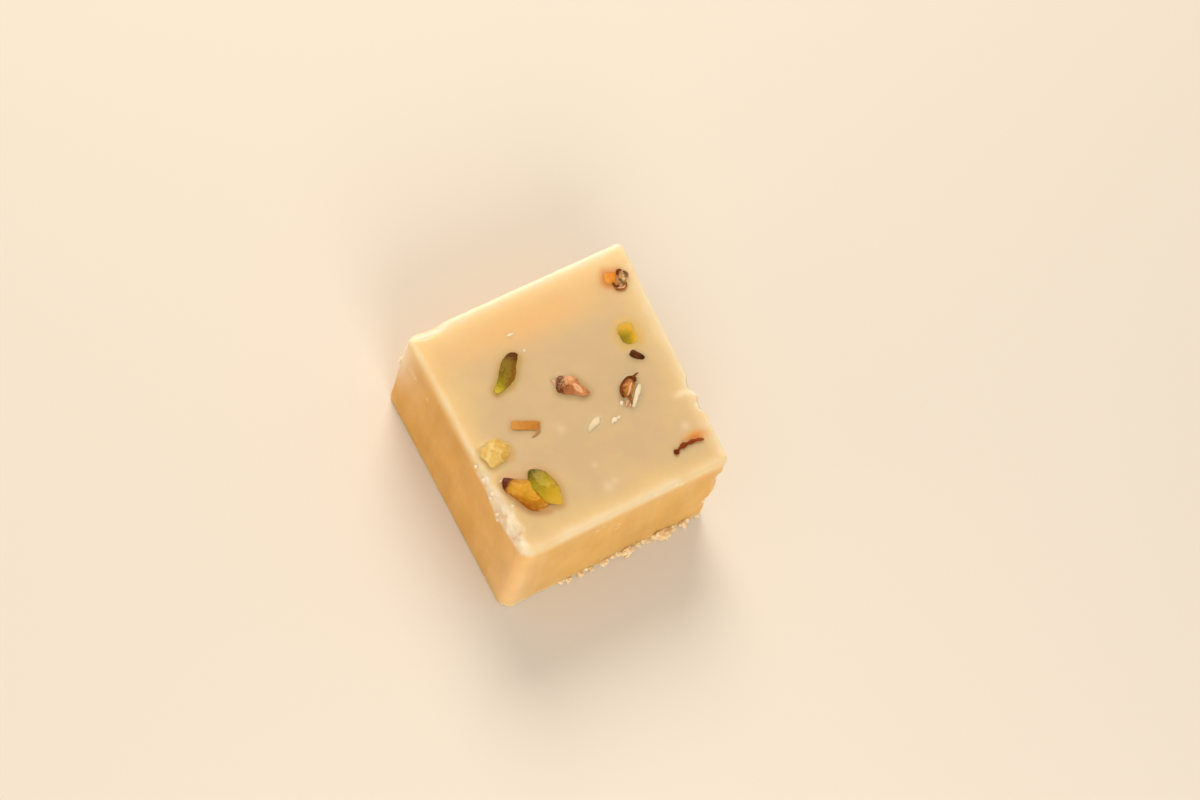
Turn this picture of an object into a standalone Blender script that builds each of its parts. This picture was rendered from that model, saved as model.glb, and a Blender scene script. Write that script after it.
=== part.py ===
# Pistachio barfi: one square piece of set milk sweet with chopped nuts pressed into its top.
# All sizes below are in millimetres; MM turns them into metres.
import math
import bpy
import bmesh
from mathutils import Matrix, Vector, noise

MM = 0.001

# The block: a slightly skewed square with leaning walls, cut with a knife from a set tray.
THICKNESS = 20.0
HALF_PLAN = 22.5
TOP_CORNERS = {
    "left_back": (-19.95, 23.75),
    "right_back": (25.05, 23.7),
    "right_front": (19.7, -22.35),
    "left_front": (-22.9, -22.15),
}
LOW_CORNERS = {
    "left_back": (-21.35, 23.4),
    "right_back": (24.2, 23.45),
    "right_front": (18.15, -23.35),
    "left_front": (-24.5, -23.35),
}
CORNER_RADII = {"left_back": 2.5, "right_back": 1.4, "right_front": 1.1, "left_front": 2.3}
TOP_EDGE_RADIUS = 0.9
LOW_EDGE_RADIUS = 0.45

# The grid that the block is shaped from, closer together near its edges.
PLAN_CUTS = 40
HEIGHT_CUTS = 12
EDGE_CROWDING = 0.75

# The walls: a faint swell from the knife, kept off the flat top and base.
WALL_SWELL = 0.22
WALL_SWELL_LENGTH = 11.0
WALL_START = 0.96
FLAT_TOLERANCE = math.radians(0.05)

# Points closer than this, in metres, become one after the bits are fused.
MERGE_DISTANCE = 0.00002

# Broken places: centre, reach along each axis, and the push that the crumbled sweet has gone in by.
# The third is the long low stretch of the back rim; the push is whole over the middle of each place.
CHIPS = [
    ((21.7, -6.9, 19.8), (2.0, 2.0, 2.0), (-0.6, 0.0, -0.2)),
    ((20.9, -11.0, 19.8), (1.6, 1.6, 1.6), (-0.35, 0.0, -0.15)),
    ((-16.2, 23.9, 20.0), (4.6, 2.4, 1.8), (0.0, -0.7, -0.3)),
    ((-22.6, -12.0, 20.0), (2.4, 2.4, 2.4), (0.5, 0.0, -0.45)),
    ((-22.9, -17.4, 20.0), (2.2, 2.2, 2.2), (0.45, 0.0, -0.5)),
    ((-22.1, -6.2, 20.0), (1.9, 1.9, 1.9), (0.35, 0.0, -0.35)),
    ((19.4, -22.7, 13.5), (2.4, 2.4, 2.4), (-0.5, 0.3, 0.0)),
    ((18.6, -23.1, 5.0), (2.4, 2.4, 2.4), (-0.45, 0.3, 0.0)),
    ((24.3, 3.0, 0.0), (2.4, 2.4, 2.4), (-0.4, 0.0, 0.15)),
    ((4.0, 23.6, 0.0), (2.6, 2.6, 2.6), (0.0, -0.35, 0.15)),
]
CHIP_ROUGHNESS = 1.1
CHIP_GRAIN = 0.7
CHIP_STEEPNESS = 1.9

# Chopped nuts pressed into the top. Each has its place, length, width and height over the top, then its turn
# in degrees, its taper and its roughness.
# A positive taper narrows the end that the turn points to.
NUTS = {
    "green_sliver": ((-7.7, 9.95), 7.4, 2.7, 0.95, 41.0, 0.12, 0.10),
    "brown_wedge": ((1.35, 2.1), 6.2, 3.9, 1.15, -40.0, 0.55, 0.14),
    "skin_curl": ((10.45, -2.6), 4.9, 2.7, 1.1, 38.0, 0.1, 0.14),
    "fibre": ((11.7, -4.5), 4.0, 1.0, 0.75, 58.0, 0.1, 0.12),
    "dark_seed": ((15.45, 2.5), 2.9, 1.3, 0.6, -25.0, 0.1, 0.08),
    "sunken_kernel": ((16.3, 6.9), 5.0, 4.2, 0.4, -30.0, 0.1, 0.08),
    "skin_ring": ((20.5, 17.0), 4.0, 2.9, 0.85, 62.0, 0.1, 0.16),
    "skin_scrap": ((18.9, 18.3), 2.4, 2.0, 0.3, -30.0, 0.1, 0.14),
    "tan_bar": ((-10.05, -0.4), 5.1, 1.6, 0.4, -28.0, 0.0, 0.06),
    "pale_chunk": ((-17.6, -2.65), 5.3, 4.3, 1.05, -20.0, 0.1, 0.18),
    "kernel_brown_half": ((-16.6, -12.0), 8.7, 4.4, 1.35, -70.0, -0.25, 0.10),
    "kernel_green_half": ((-13.2, -12.4), 8.8, 4.3, 1.6, -78.0, 0.0, 0.08),
}
FINE_NUTS = ("kernel_brown_half", "kernel_green_half")
NUT_DEPTH = 0.9

# The bumps on nuts and crumbs: how many cross one bit, and how far the noise of them is stretched.
BUMPS_ACROSS = 1.7
BUMP_GAIN = 2.0

# Thin curved bits of nut skin, each a bent rod through three points on the top.
STICKS = {
    "dark_stick": ([(11.7, -16.8), (13.8, -16.4), (17.2, -16.5)], 0.5),
    "bar_hook": ([(-8.2, -1.3), (-8.3, -2.5), (-9.9, -2.8)], 0.32),
}
STICK_SIDES = 6
STICK_LIFT = 0.1

# White sugar flakes on the top: place and width.
FLAKES = [
    ((1.15, -5.4), 2.4),
    ((5.1, -6.5), 1.3),
    ((-3.2, 16.2), 1.1),
    ((-2.5, 12.4), 0.8),
    ((-20.0, -13.0), 0.9),
]
FLAKE_HEIGHT = 0.3
FLAKE_SHAPE = (1.2, 0.85)
FLAKE_TURN = 50.0
FLAKE_TAPER = 0.2

# Crumbs on the broken left rim, the back left corner and the two chips on the right: place and width.
RIM_CRUMBS = [
    ((-21.1, -3.2, 19.3), 1.1),
    ((-21.4, -5.4, 19.0), 1.6),
    ((-21.5, -8.2, 18.8), 1.3),
    ((-21.8, -10.1, 18.9), 1.4),
    ((-22.1, -12.3, 18.6), 1.9),
    ((-22.3, -14.4, 18.7), 1.4),
    ((-22.3, -16.2, 18.9), 1.2),
    ((-22.4, -18.3, 18.6), 1.6),
    ((-20.3, 23.25, 11.9), 1.4),
    ((20.9, -10.9, 18.6), 1.2),
    ((20.8, -8.6, 18.9), 1.0),
]

# Crumbs along the foot of the front wall.
FOOT_CRUMBS = [
    ((9.1, -23.75, 1.15), 2.6),
    ((10.5, -23.6, 0.8), 1.6),
    ((7.9, -23.5, 0.6), 1.3),
    ((11.8, -23.5, 0.6), 1.2),
    ((13.9, -23.6, 0.8), 1.7),
    ((17.0, -23.2, 0.6), 1.2),
    ((6.2, -23.5, 0.5), 1.0),
    ((4.2, -23.4, 0.5), 1.0),
    ((1.7, -23.6, 0.9), 2.0),
    ((0.2, -23.5, 0.6), 1.2),
    ((-3.4, -23.6, 0.7), 1.6),
    ((-5.9, -23.5, 0.5), 1.0),
    ((-8.1, -23.5, 0.6), 1.4),
    ((-10.7, -23.5, 0.5), 1.2),
]
CRUMB_ROUGHNESS = 0.22
CRUMB_SHAPE = (1.15, 1.0, 0.95)
CRUMB_TURN = 37.0


def clear_scene():
    for old in list(bpy.data.objects):
        bpy.data.objects.remove(old, do_unlink=True)


def crowded(share):
    """Moves an even share of an edge so that the grid lines crowd towards both ends."""
    return share - EDGE_CROWDING * math.sin(2 * math.pi * share) / (2 * math.pi)


def corner_name(x, y):
    return ("right" if x > 0 else "left") + ("_back" if y > 0 else "_front")


def disc_from_square(first, second):
    """Turns a point of a square corner into the same point of a rounded corner."""
    reach = math.hypot(first, second)
    if reach == 0:
        return first, second
    factor = max(abs(first), abs(second)) / reach
    return first * factor, second * factor


def edge_rounding(gap, depth, radius):
    """Distance from the wall and from the flat face after the edge between them is rounded."""
    if gap >= radius or depth >= radius:
        return gap, depth
    in_wall, in_face = disc_from_square(radius - gap, radius - depth)
    return radius - in_wall, radius - in_face


def rounded_block_point(x, y, z):
    """Rounds all the edges of the square block at one grid point."""
    radius = CORNER_RADII[corner_name(x, y)]
    core = HALF_PLAN - radius
    core_x = max(-core, min(core, x))
    core_y = max(-core, min(core, y))
    off_x, off_y = disc_from_square(x - core_x, y - core_y)
    reach = math.hypot(off_x, off_y)
    gap = radius - reach
    top_half = z > THICKNESS / 2
    depth = THICKNESS - z if top_half else z
    new_gap, new_depth = edge_rounding(gap, depth, TOP_EDGE_RADIUS if top_half else LOW_EDGE_RADIUS)
    if reach > 0:
        stretch = (radius - new_gap) / reach
        off_x *= stretch
        off_y *= stretch
    new_z = THICKNESS - new_depth if top_half else new_depth
    return Vector((core_x + off_x, core_y + off_y, new_z))


def skewed(point):
    """Carries a point of the true square block to the leaning, skewed block."""
    across = (point.x / HALF_PLAN + 1) / 2
    along = (point.y / HALF_PLAN + 1) / 2
    shares = {
        "left_back": (1 - across) * along,
        "right_back": across * along,
        "right_front": across * (1 - along),
        "left_front": (1 - across) * (1 - along),
    }
    place = Vector((0.0, 0.0))
    for name, share in shares.items():
        corner = Vector(LOW_CORNERS[name]).lerp(Vector(TOP_CORNERS[name]), point.z / THICKNESS)
        place += share * corner
    return Vector((place.x, place.y, point.z))


def chip_push(point):
    """How far the sweet has crumbled in at this point of its skin; the break is uneven."""
    push = Vector((0.0, 0.0, 0.0))
    for centre, reach, depth in CHIPS:
        offset = [(point[axis] - centre[axis]) / reach[axis] for axis in range(3)]
        nearness = 1 - Vector(offset).length
        if nearness > 0:
            unevenness = 1 + CHIP_ROUGHNESS * noise.noise(point / CHIP_GRAIN)
            push += Vector(depth) * min(1.0, CHIP_STEEPNESS * nearness) * unevenness
    return push


def wall_swell(point, square_point):
    """A slow in-and-out of the walls, nothing at all on the flat top and base."""
    middle = math.sin(math.pi * point.z / THICKNESS)
    outward = Vector((square_point.x, square_point.y, 0.0)) / HALF_PLAN
    inside = max(abs(outward.x), abs(outward.y))
    wall_share = max(0.0, (inside - WALL_START) / (1 - WALL_START))
    swell = noise.noise(point / WALL_SWELL_LENGTH) * WALL_SWELL * middle * wall_share
    return outward * swell


def make_block():
    mesh = bmesh.new()
    bmesh.ops.create_cube(mesh, size=1.0)
    edges_up = [e for e in mesh.edges if abs(e.verts[0].co.z - e.verts[1].co.z) > 0.5]
    bmesh.ops.subdivide_edges(mesh, edges=edges_up, cuts=HEIGHT_CUTS - 1, use_grid_fill=True)
    for axis in (0, 1):
        edges_flat = [e for e in mesh.edges if abs(e.verts[0].co[axis] - e.verts[1].co[axis]) > 0.5]
        bmesh.ops.subdivide_edges(mesh, edges=edges_flat, cuts=PLAN_CUTS - 1, use_grid_fill=True)
    for vert in mesh.verts:
        x, y = (2 * HALF_PLAN * (crowded(vert.co[axis] + 0.5) - 0.5) for axis in (0, 1))
        z = THICKNESS * crowded(vert.co.z + 0.5)
        square_point = rounded_block_point(x, y, z)
        point = skewed(square_point)
        vert.co = point + wall_swell(point, square_point) + chip_push(point)
    drop_flat_grid(mesh)
    return mesh_object("barfi", mesh)


def drop_flat_grid(mesh):
    """Leaves one large face where the grid of the top and of the base is flat."""
    mesh.normal_update()
    flat = [f for f in mesh.faces if abs(f.normal.z) > 0.999]
    edges = {edge for face in flat for edge in face.edges}
    verts = {vert for edge in edges for vert in edge.verts}
    bmesh.ops.dissolve_limit(mesh, angle_limit=FLAT_TOLERANCE, verts=list(verts), edges=list(edges))
    bmesh.ops.triangulate(mesh, faces=mesh.faces[:])


def mesh_object(name, mesh):
    """Makes an object of a mesh in millimetres, in metres, and links it to the scene."""
    bmesh.ops.scale(mesh, vec=(MM, MM, MM), verts=mesh.verts)
    data = bpy.data.meshes.new(name)
    mesh.to_mesh(data)
    mesh.free()
    thing = bpy.data.objects.new(name, data)
    bpy.context.scene.collection.objects.link(thing)
    return thing


def lump(name, place, size, turn, taper, roughness, detail):
    """A rough rounded bit: size is length, width and full height; taper narrows its far end."""
    mesh = bmesh.new()
    bmesh.ops.create_icosphere(mesh, subdivisions=detail, radius=1.0)
    offset = Vector(place) * BUMPS_ACROSS
    for vert in mesh.verts:
        bump = 1 + roughness * BUMP_GAIN * noise.noise(vert.co * BUMPS_ACROSS + offset)
        narrow = 1 - taper * vert.co.x
        half = Vector(size) / 2
        vert.co = Vector((vert.co.x * half.x, vert.co.y * half.y * narrow, vert.co.z * half.z)) * bump
    bmesh.ops.rotate(mesh, verts=mesh.verts, matrix=Matrix.Rotation(math.radians(turn), 3, "Z"))
    bmesh.ops.translate(mesh, verts=mesh.verts, vec=place)
    return mesh_object(name, mesh)


def make_nuts():
    made = []
    for name, (place, length, width, height, turn, taper, roughness) in NUTS.items():
        detail = 3 if name in FINE_NUTS else 2
        centre = (place[0], place[1], THICKNESS + (height - NUT_DEPTH) / 2)
        made.append(lump(name, centre, (length, width, height + NUT_DEPTH), turn, taper, roughness, detail))
    return made


def make_stick(name, points, radius):
    """A rod bent through its points, half sunk into the top."""
    mesh = bmesh.new()
    rings = []
    for index, (x, y) in enumerate(points):
        before = Vector(points[max(index - 1, 0)])
        after = Vector(points[min(index + 1, len(points) - 1)])
        side = (after - before).normalized().orthogonal()
        ring = []
        for step in range(STICK_SIDES):
            angle = 2 * math.pi / STICK_SIDES * step
            out = side * math.cos(angle) * radius
            height = THICKNESS + STICK_LIFT + math.sin(angle) * radius
            ring.append(mesh.verts.new((x + out.x, y + out.y, height)))
        rings.append(ring)
    for first, second in zip(rings, rings[1:]):
        for step in range(STICK_SIDES):
            mesh.faces.new((first[step], first[step - 1], second[step - 1], second[step]))
    mesh.faces.new(rings[0])
    mesh.faces.new(reversed(rings[-1]))
    bmesh.ops.recalc_face_normals(mesh, faces=mesh.faces)
    return mesh_object(name, mesh)


def make_flakes():
    made = []
    for index, (place, width) in enumerate(FLAKES):
        centre = (place[0], place[1], THICKNESS)
        size = (width * FLAKE_SHAPE[0], width * FLAKE_SHAPE[1], FLAKE_HEIGHT * 2)
        made.append(lump(f"flake_{index}", centre, size, FLAKE_TURN, FLAKE_TAPER, CRUMB_ROUGHNESS, 1))
    return made


def make_crumbs():
    made = []
    for index, (place, width) in enumerate(RIM_CRUMBS + FOOT_CRUMBS):
        size = [width * share for share in CRUMB_SHAPE]
        made.append(lump(f"crumb_{index}", place, size, CRUMB_TURN * index, 0.0, CRUMB_ROUGHNESS, 1))
    return made


def fuse(block, bits):
    """Makes the block and all the bits on it one closed solid."""
    group = bpy.data.collections.new("bits")
    for bit in bits:
        group.objects.link(bit)
    union = block.modifiers.new("union", "BOOLEAN")
    union.operation = "UNION"
    union.operand_type = "COLLECTION"
    union.solver = "EXACT"
    union.collection = group
    bpy.context.view_layer.objects.active = block
    bpy.context.view_layer.update()
    bpy.ops.object.modifier_apply(modifier=union.name)
    for bit in bits:
        bpy.data.objects.remove(bit, do_unlink=True)
    bpy.data.collections.remove(group)


def flatten_base(mesh):
    """Cuts off whatever a crumb lets hang below the base, so that the piece rests flat."""
    for vert in mesh.verts:
        vert.co.z = max(vert.co.z, 0.0)


def finish_mesh(block):
    """Tidies the fused solid and puts the middle of its base at the origin."""
    mesh = bmesh.new()
    mesh.from_mesh(block.data)
    flatten_base(mesh)
    bmesh.ops.remove_doubles(mesh, verts=mesh.verts, dist=MERGE_DISTANCE)
    bmesh.ops.dissolve_degenerate(mesh, edges=mesh.edges, dist=MERGE_DISTANCE)
    bmesh.ops.triangulate(mesh, faces=mesh.faces[:])
    bmesh.ops.recalc_face_normals(mesh, faces=mesh.faces)
    low = Vector([min(v.co[axis] for v in mesh.verts) for axis in range(3)])
    high = Vector([max(v.co[axis] for v in mesh.verts) for axis in range(3)])
    middle = (low + high) / 2
    bmesh.ops.translate(mesh, verts=mesh.verts, vec=(-middle.x, -middle.y, -low.z))
    print("moved by", -middle.x / MM, -middle.y / MM, "to", [(high - low)[axis] / MM for axis in range(3)])
    mesh.to_mesh(block.data)
    mesh.free()


def paint(block):
    material = bpy.data.materials.new("milk_sweet")
    material.use_nodes = True
    shader = material.node_tree.nodes["Principled BSDF"]
    shader.inputs["Base Color"].default_value = (0.76, 0.50, 0.24, 1.0)
    shader.inputs["Roughness"].default_value = 0.55
    block.data.materials.clear()
    block.data.materials.append(material)


clear_scene()
barfi = make_block()
bits = make_nuts() + make_flakes() + make_crumbs()
bits += [make_stick(name, points, radius) for name, (points, radius) in STICKS.items()]
fuse(barfi, bits)
finish_mesh(barfi)
paint(barfi)
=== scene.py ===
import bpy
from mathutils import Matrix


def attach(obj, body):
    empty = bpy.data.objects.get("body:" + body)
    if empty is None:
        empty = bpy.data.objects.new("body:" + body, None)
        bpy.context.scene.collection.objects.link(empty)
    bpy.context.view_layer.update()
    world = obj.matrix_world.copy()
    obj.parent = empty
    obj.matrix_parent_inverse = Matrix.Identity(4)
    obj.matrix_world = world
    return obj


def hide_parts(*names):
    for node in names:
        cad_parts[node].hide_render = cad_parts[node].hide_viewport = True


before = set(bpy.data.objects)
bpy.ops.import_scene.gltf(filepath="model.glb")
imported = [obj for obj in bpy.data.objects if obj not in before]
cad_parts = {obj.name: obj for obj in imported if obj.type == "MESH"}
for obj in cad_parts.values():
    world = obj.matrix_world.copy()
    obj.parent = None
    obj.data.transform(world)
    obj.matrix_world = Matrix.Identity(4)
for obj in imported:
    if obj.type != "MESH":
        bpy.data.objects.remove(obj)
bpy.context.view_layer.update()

import math
import random
import bmesh
import bpy
from mathutils import Matrix, Vector, noise
from mathutils.bvhtree import BVHTree

# One square of set milk sweet with chopped pistachio pressed into its top. Shapes are worked in millimetres
# from the middle of the block, and turned to metres as each piece is finished.
millimetre = 0.001
boxShift = Vector((-0.267, 0.459, 0.0))  # the crumbs at the foot put the middle of the whole piece here


# colours, nodes and pieces

def hexColour(code):
    parts = [int(code[i:i + 2], 16) / 255 for i in (1, 3, 5)]
    return tuple(p / 12.92 if p <= 0.04045 else ((p + 0.055) / 1.055) ** 2.4 for p in parts) + (1.0,)


def addNode(tree, kind, links=None, stops=None, **settings):
    node = tree.nodes.new("ShaderNode" + kind)
    for name, value in settings.items():
        setattr(node, name, value)
    for socket, source in (links or {}).items():
        if isinstance(source, bpy.types.NodeSocket):
            tree.links.new(source, node.inputs[socket])
        else:
            node.inputs[socket].default_value = source
    if stops:
        while len(node.color_ramp.elements) < len(stops):
            node.color_ramp.elements.new(1.0)
        for element, (place, code) in zip(node.color_ramp.elements, stops.items()):
            element.position = place
            element.color = hexColour(code)
    return node


def perPattern(size):  # texture scale of a pattern that repeats every so many millimetres
    return 1.0 / (size * millimetre)


def newMaterial(name, shaderValues):
    material = bpy.data.materials.new(name)
    material.use_nodes = True
    tree = material.node_tree
    tree.nodes.clear()
    shader = addNode(tree, "BsdfPrincipled", shaderValues)
    addNode(tree, "OutputMaterial", {"Surface": shader.outputs["BSDF"]})
    return material, tree, shader


def addGrain(tree, shader, place, size, detail, strength, depth):  # fine relief, in millimetres
    pattern = {"Vector": place, "Scale": perPattern(size), "Detail": detail}
    fine = addNode(tree, "TexNoise", pattern).outputs[0]
    bump = addNode(tree, "Bump", {"Strength": strength, "Distance": depth * millimetre, "Height": fine})
    tree.links.new(bump.outputs["Normal"], shader.inputs["Normal"])


def finishPiece(name, bm, material):
    bmesh.ops.translate(bm, verts=bm.verts, vec=boxShift)
    bmesh.ops.scale(bm, vec=(millimetre,) * 3, verts=bm.verts)
    bmesh.ops.recalc_face_normals(bm, faces=bm.faces)
    mesh = bpy.data.meshes.new(name)
    bm.to_mesh(mesh)
    bm.free()
    mesh.shade_smooth()
    mesh.materials.append(material)
    piece = bpy.data.objects.new(name, mesh)
    bpy.context.scene.collection.objects.link(piece)
    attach(piece, "root")
    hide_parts("barfi")
    print("piece", name, len(mesh.polygons), "faces")
    return piece


def smoothStep(low, high, value):
    share = max(0.0, min(1.0, (value - low) / (high - low)))
    return share * share * (3 - 2 * share)


def bell(value, width):
    return math.exp(-(value / width) ** 2)


def crags(point, grain, seed=0.0):  # uneven relief, about -1 to 1, of this grain and finer
    return noise.fractal(point / grain + Vector((seed, seed * 0.7, -seed)), 0.9, 2.1, 3)


# the sweet is boiled-down milk and sugar set in a tray: the poured top is satin and tan, with painted glow
# that warms it to cream towards its edges and along the back; the knife-cut walls are grainier, and their
# gold is partly their own and partly painted warm bounce light; the rims have dried pale, with a painted
# highlight over them

sweetLook = {
    "topMiddle": "#CDB48C",
    # topWarm: painted glow towards the top's edges, where light comes through the sweet; it also warms random
    # patches
    "topWarm": "#E8CB8C",
    # edgeGlow: painted glow along the back of the top, for light shining through from behind
    "edgeGlow": "#F6DC9E",
    # cutGold: the cut walls' gold is partly their own colour and partly painted warm bounce light and glow
    "cutGold": "#E2B05E",
    "cutDeep": "#D6A252",
    # cornerPale: painted highlight on the left wall's upright edges and painted glow on the upper front wall;
    # it also lightens the knife streaks
    "cornerPale": "#FFF4D8",
    # amber: painted glow in a broad band on the top, some way in from the back
    "amber": "#E8BA7A",
    # rimPale: the rims have dried pale, and this also paints their highlight
    "rimPale": "#E2D9C2",
    "brokenPale": "#EAE0CA",
    # milkMarkAndRimHighlight: real milky marks and the pale crease, and the painted highlight along the back
    # rim
    "milkMarkAndRimHighlight": "#F2E8D2",
    "skinStain": "#DC8E34",
    "lightDepth": 2.8,  # mm that red light travels inside
}

# the nuts are listed first, because the sweet rises a little round each of them
# outline: seen from above; axis: from one end to the other; lift: how far it stands over the top
# boxy: 2 is a round dome, more is flatter with steeper sides; soft: more makes the rim of the dome lower
# facets: how many broken flat faces; wrinkle, grain and crumple: its uneven relief
# halo: the colour that the nut's oil and painted contact shade give the sweet round it, how strongly and how
# far

plainNut = {"grow": 1.04, "boxy": 2.4, "soft": 1.2, "wrinkle": 0.05, "grain": 0.5, "crumple": 0}
nutValues = {
    "greenSliver": {
        "outline": [
            (-5.8, 12.8), (-4.8, 12.4), (-4.4, 11.8), (-4.6, 11.2), (-5.3, 10.5), (-5.9, 9.7), (-6.6, 8.8),
            (-7.4, 8.1), (-8.2, 7.5), (-9, 7.3), (-9.8, 7.3), (-10.9, 7.1), (-11.5, 7.3), (-11.3, 8.1),
            (-10.4, 8.8), (-9.7, 9.5), (-8.9, 10.4), (-8, 11.4), (-7.1, 12.2)],
        "axis": ((-5, 12.6), (-11.2, 7.2)), "grow": 1.1, "lift": 0.85, "boxy": 3.2, "facets": 6,
        "wrinkle": 0.04, "grain": 0.4, "crumple": 0.12, "halo": ("#C4983E", 0.7, 0.8)},
    "brownWedge": {
        "outline": [
            (0.1, 5.1), (1.1, 5.1), (2.2, 4.4), (2.9, 3.5), (3.2, 2.5), (3.5, 1.3), (3.6, 0.1), (3.2, -0.1),
            (2.2, 0), (1.4, 0.7), (0.2, 1.2), (-0.6, 1.9), (-1.3, 2.5), (-1.1, 3.3), (-0.4, 4.2)],
        "axis": ((-1.2, 3.4), (3.7, 0)), "lift": 1.15, "boxy": 2.6, "soft": 1.05, "facets": 7, "grow": 1.11,
        "crumple": 0.3, "halo": ("#B98A52", 0.5, 0.8)},
    "darkSeed": {
        "outline": [
            (14.1, 3.2), (14.7, 3.8), (15.4, 3.6), (16, 2.6), (16.4, 1.6), (15.9, 1.3), (15, 1.8),
            (14.3, 2.6)],
        "axis": ((14, 3.4), (16.4, 1.5)), "grow": 1.14, "lift": 0.55, "boxy": 2.2, "facets": 6,
        "wrinkle": 0.08, "grain": 0.4, "halo": ("#B08A5C", 0.3, 0.5)},
    "sunkenKernel": {
        "outline": [
            (15.7, 9.6), (17.3, 9.2), (18, 8.2), (17.9, 6.5), (17.5, 5), (16.4, 4.5), (14.8, 4.6),
            (14.1, 5.6), (14.1, 7), (14.5, 8.5)],
        "axis": ((14.3, 6.9), (18.2, 5.9)), "lift": 0.3, "boxy": 2, "soft": 2, "facets": 4, "wrinkle": 0.1,
        "grain": 0.6, "halo": ("#DEB04A", 0.55, 0.9)},
    "tanBar": {
        "outline": [
            (-11.9, 1.4), (-10.8, 0.9), (-9.7, 0.3), (-8.5, -0.2), (-7.3, -0.9), (-7.9, -1.6), (-8.6, -2.3),
            (-9.7, -1.7), (-10.8, -1.1), (-11.8, -0.7), (-12.8, 0), (-12.4, 0.7)],
        "axis": ((-12.4, 0.5), (-7.8, -1.5)), "grow": 0.98, "lift": 0.26, "boxy": 4, "soft": 1.7,
        "facets": 0, "wrinkle": 0.04, "grain": 0.4, "halo": ("#CC9450", 0.5, 0.45)},
    "orangeScrap": {
        "outline": [
            (18.7, 19.2), (19.7, 18.8), (20.8, 18.4), (20.3, 17.5), (19.6, 16.7), (18.8, 16.6), (18, 17),
            (17.7, 17.6), (18.1, 18.5)],
        "axis": ((18, 17.8), (20.8, 17.6)), "lift": 0.26, "soft": 1.7, "facets": 0, "wrinkle": 0.08,
        "halo": ("#DA8430", 0.85, 0.9)},
    "paleChunk": {
        "outline": [
            (-19.8, -0.9), (-19.2, -0.6), (-17.9, -0.5), (-16.6, -0.6), (-16, -0.8), (-15.6, -1.5),
            (-15, -2.3), (-14.8, -3), (-15, -4), (-15.7, -4.7), (-16.6, -4.7), (-17.5, -4.7), (-18.4, -4.9),
            (-19.3, -4.9), (-19.8, -4.4), (-19.7, -3.4), (-20.1, -2.6), (-20.3, -2)],
        "axis": ((-20, -1.8), (-15, -3.2)), "grow": 1.12, "lift": 1.1, "boxy": 2.6, "soft": 1.25,
        "facets": 20, "crumple": 0.2, "halo": ("#D9A048", 0.5, 0.6)},
    "kernelGolden": {
        "outline": [
            (-19.5, -8.5), (-18.9, -7.8), (-18.1, -7.8), (-17.4, -8.2), (-16.5, -8.7), (-15.5, -9.4),
            (-14.9, -10.6), (-14.9, -11.8), (-14.8, -13.3), (-14.2, -14.7), (-13.7, -15.7), (-14.6, -16.2),
            (-15.6, -16), (-16.5, -15.7), (-17.7, -14.8), (-18.4, -13.4), (-18.8, -12), (-19.5, -10.6),
            (-19.8, -9.5)],
        "axis": ((-19.4, -8.2), (-14.4, -16)), "grow": 1.09, "lift": 1.3, "boxy": 2.1, "facets": 5,
        "crumple": 0.14, "halo": ("#C4813A", 0.6, 0.9)},
    "kernelGreen": {
        "outline": [
            (-14.1, -8.4), (-13.2, -8.4), (-12.4, -9), (-11.6, -9.9), (-11.1, -11.1), (-10.8, -12.4),
            (-10.9, -13.9), (-11.5, -15.5), (-12, -16.4), (-12.7, -16.3), (-13.6, -15.8), (-14.4, -15.1),
            (-15.2, -13.7), (-15.6, -12.2), (-15.6, -11), (-15.3, -9.9), (-14.7, -9)],
        "axis": ((-13.9, -8.3), (-12.2, -16.6)), "lift": 1.6, "boxy": 2.2, "facets": 5, "crumple": 0.1,
        "halo": ("#CC9240", 0.55, 0.9)},
    "curlShell": {
        "outline": [
            (12.5, -0.9), (11.7, -0.7), (10.9, -0.7), (10, -1.1), (9.3, -1.7), (8.9, -2.7), (8.6, -3.6),
            (9, -4), (9.3, -4.7), (9.6, -4.8), (10.2, -4), (11.1, -3.1), (12, -2.1), (12.4, -1.4)],
        "axis": ((12.4, -1), (9.2, -4.4)), "lift": 0.95, "boxy": 2.2, "facets": 9, "wrinkle": 0.1,
        "grain": 0.35, "halo": ("#BC9052", 0.4, 0.6)},
    "curlFlesh": {
        "outline": [
            (12.5, -2.5), (12.8, -2.8), (12.2, -3.8), (11.2, -4.8), (9.9, -6), (9.3, -6.2), (9, -5.8),
            (9.8, -4.9), (10.8, -3.9), (11.7, -3)],
        "axis": ((12.6, -2.6), (9.3, -6.1)), "lift": 0.6, "soft": 1.4, "facets": 8, "wrinkle": 0.1,
        "grain": 0.35, "halo": ("#D0AC7C", 0.2, 0.5), "look": "fleshPale"},
    "milkFlake": {
        "outline": [
            (2.8, -4.8), (2.5, -5.7), (1.5, -6.2), (0.7, -6.2), (-0.2, -6.8), (-0.6, -6.3), (0, -5.5),
            (1.1, -4.9), (2, -4.5)],
        "axis": ((2.6, -4.9), (-0.5, -6.5)), "lift": 0.14, "boxy": 2.6, "soft": 1.3, "facets": 10,
        "wrinkle": 0.16, "grain": 0.35, "halo": ("#DFC9A2", 0.4, 0.4)},
    "ringHeart": {
        "outline": [
            (21.4, 18.2), (21.8, 17.6), (21.6, 17.1), (21.6, 16.5), (21, 16), (20.5, 15.6), (19.7, 15.4),
            (19.3, 15.8), (19.8, 16.5), (20.1, 16.9), (20.3, 17.3), (20.9, 17.6)],
        "axis": ((21.7, 17.9), (19.5, 15.6)), "lift": 0.42, "soft": 1.3, "facets": 9, "wrinkle": 0.16,
        "grain": 0.3, "halo": ("#D9903C", 0.6, 0.7)},
}
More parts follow.
